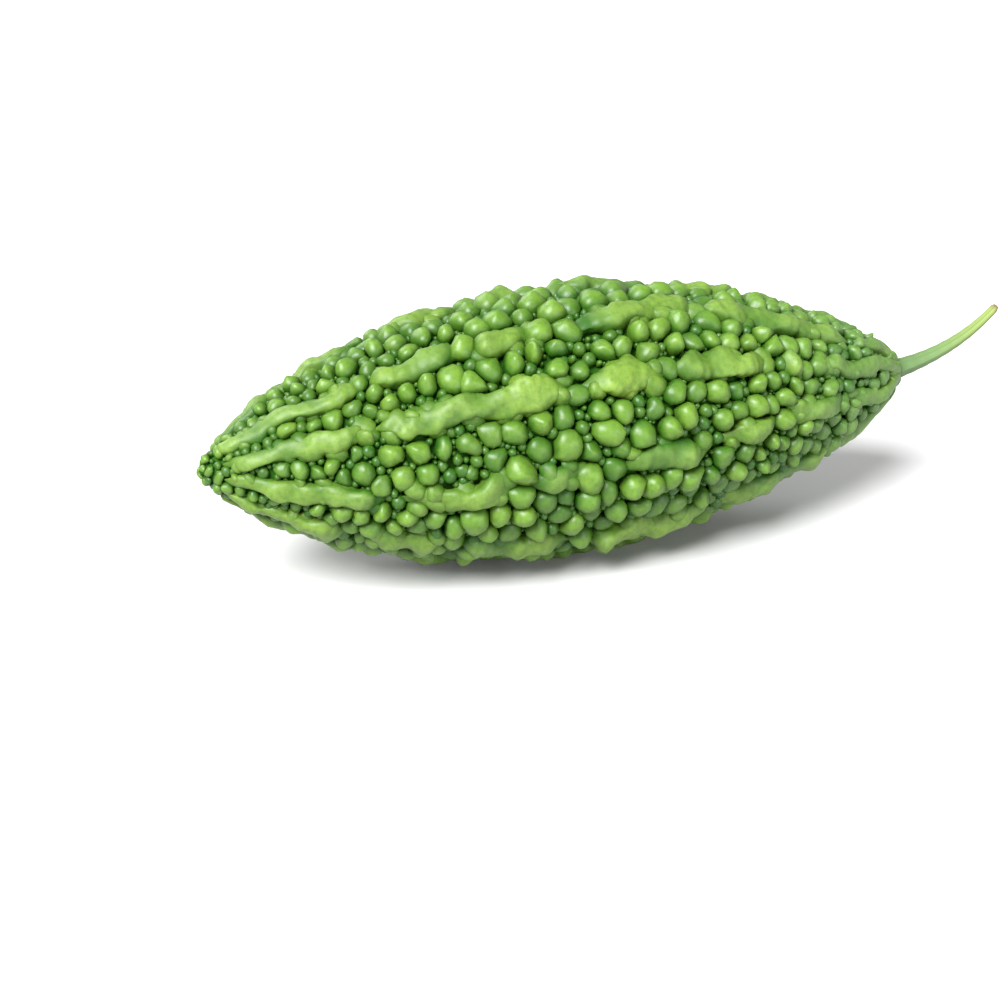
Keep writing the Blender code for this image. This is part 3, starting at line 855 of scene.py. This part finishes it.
corner_signs = ((-1, -1), (1, -1), (1, 1), (-1, 1))
table_corners = [(x * TABLE_REACH, y * TABLE_REACH, TABLE_HEIGHT) for x, y in corner_signs]
table_mesh = bpy.data.meshes.new("table")
table_mesh.from_pydata(table_corners, [], [(0, 1, 2, 3)])
table = bpy.data.objects.new("table", table_mesh)
bpy.context.scene.collection.objects.link(table)
table_material = bpy.data.materials.new("pale_table")
table_material.use_nodes = True
table_shader = table_material.node_tree.nodes["Principled BSDF"]
table_shader.inputs["Base Color"].default_value = (TABLE_GREY, TABLE_GREY, TABLE_GREY, 1)
table_shader.inputs["Roughness"].default_value = 0.9
table_mesh.materials.append(table_material)

world = bpy.data.worlds.new("soft_sky")
world.use_nodes = True
world.node_tree.nodes["Background"].inputs["Color"].default_value = (1, 1, 1, 1)
world.node_tree.nodes["Background"].inputs["Strength"].default_value = SKY_STRENGTH
bpy.context.scene.world = world


def soft_light(name, toward, spread, power):
    """Parallel light that comes from that direction, its shadows softened by the spread in degrees."""
    light = bpy.data.lights.new(name, "SUN")
    light.angle = math.radians(spread)
    light.energy = power
    lamp = bpy.data.objects.new(name, light)
    bpy.context.scene.collection.objects.link(lamp)
    lamp.rotation_euler = Vector(toward).to_track_quat("Z", "Y").to_euler()


soft_light("top_light", (-0.95, -0.74, 1.38), 34, 9.6)
soft_light("front_light", (0.60, -1.30, 0.22), 40, 2.2)
soft_light("back_light", (-0.50, 1.30, 0.80), 40, 1.9)

# The camera
# A moderately long lens, about 60 cm off and a little to the left of the fruit's middle. It looks down on
# the fruit, which lies above the middle of the picture, and whose stem reaches the right edge.

AZIMUTH = math.radians(-21)
ELEVATION = math.radians(24.5)
LENS = 85
DISTANCE = 0.62
FRUIT_RIGHT_OF_CENTRE = 0.0157
FRUIT_ABOVE_CENTRE = 0.0212

outward = Vector(
    (math.sin(AZIMUTH) * math.cos(ELEVATION), -math.cos(AZIMUTH) * math.cos(ELEVATION), math.sin(ELEVATION))
)
right = Vector((math.cos(AZIMUTH), math.sin(AZIMUTH), 0))
up = outward.cross(right)
middle = Vector(((TIP_X + SEAT_X) / 2, AXIS_Y, AXIS_HEIGHT))
aim = middle - FRUIT_RIGHT_OF_CENTRE * right - FRUIT_ABOVE_CENTRE * up
camera = bpy.data.objects.new("camera", bpy.data.cameras.new("camera"))
camera.data.lens = LENS
camera.data.clip_start = 0.01
camera.location = aim + DISTANCE * outward
camera.rotation_euler = Matrix((right, up, outward)).transposed().to_euler()
bpy.context.scene.collection.objects.link(camera)
bpy.context.scene.camera = camera
bpy.context.scene.view_settings.view_transform = "Standard"
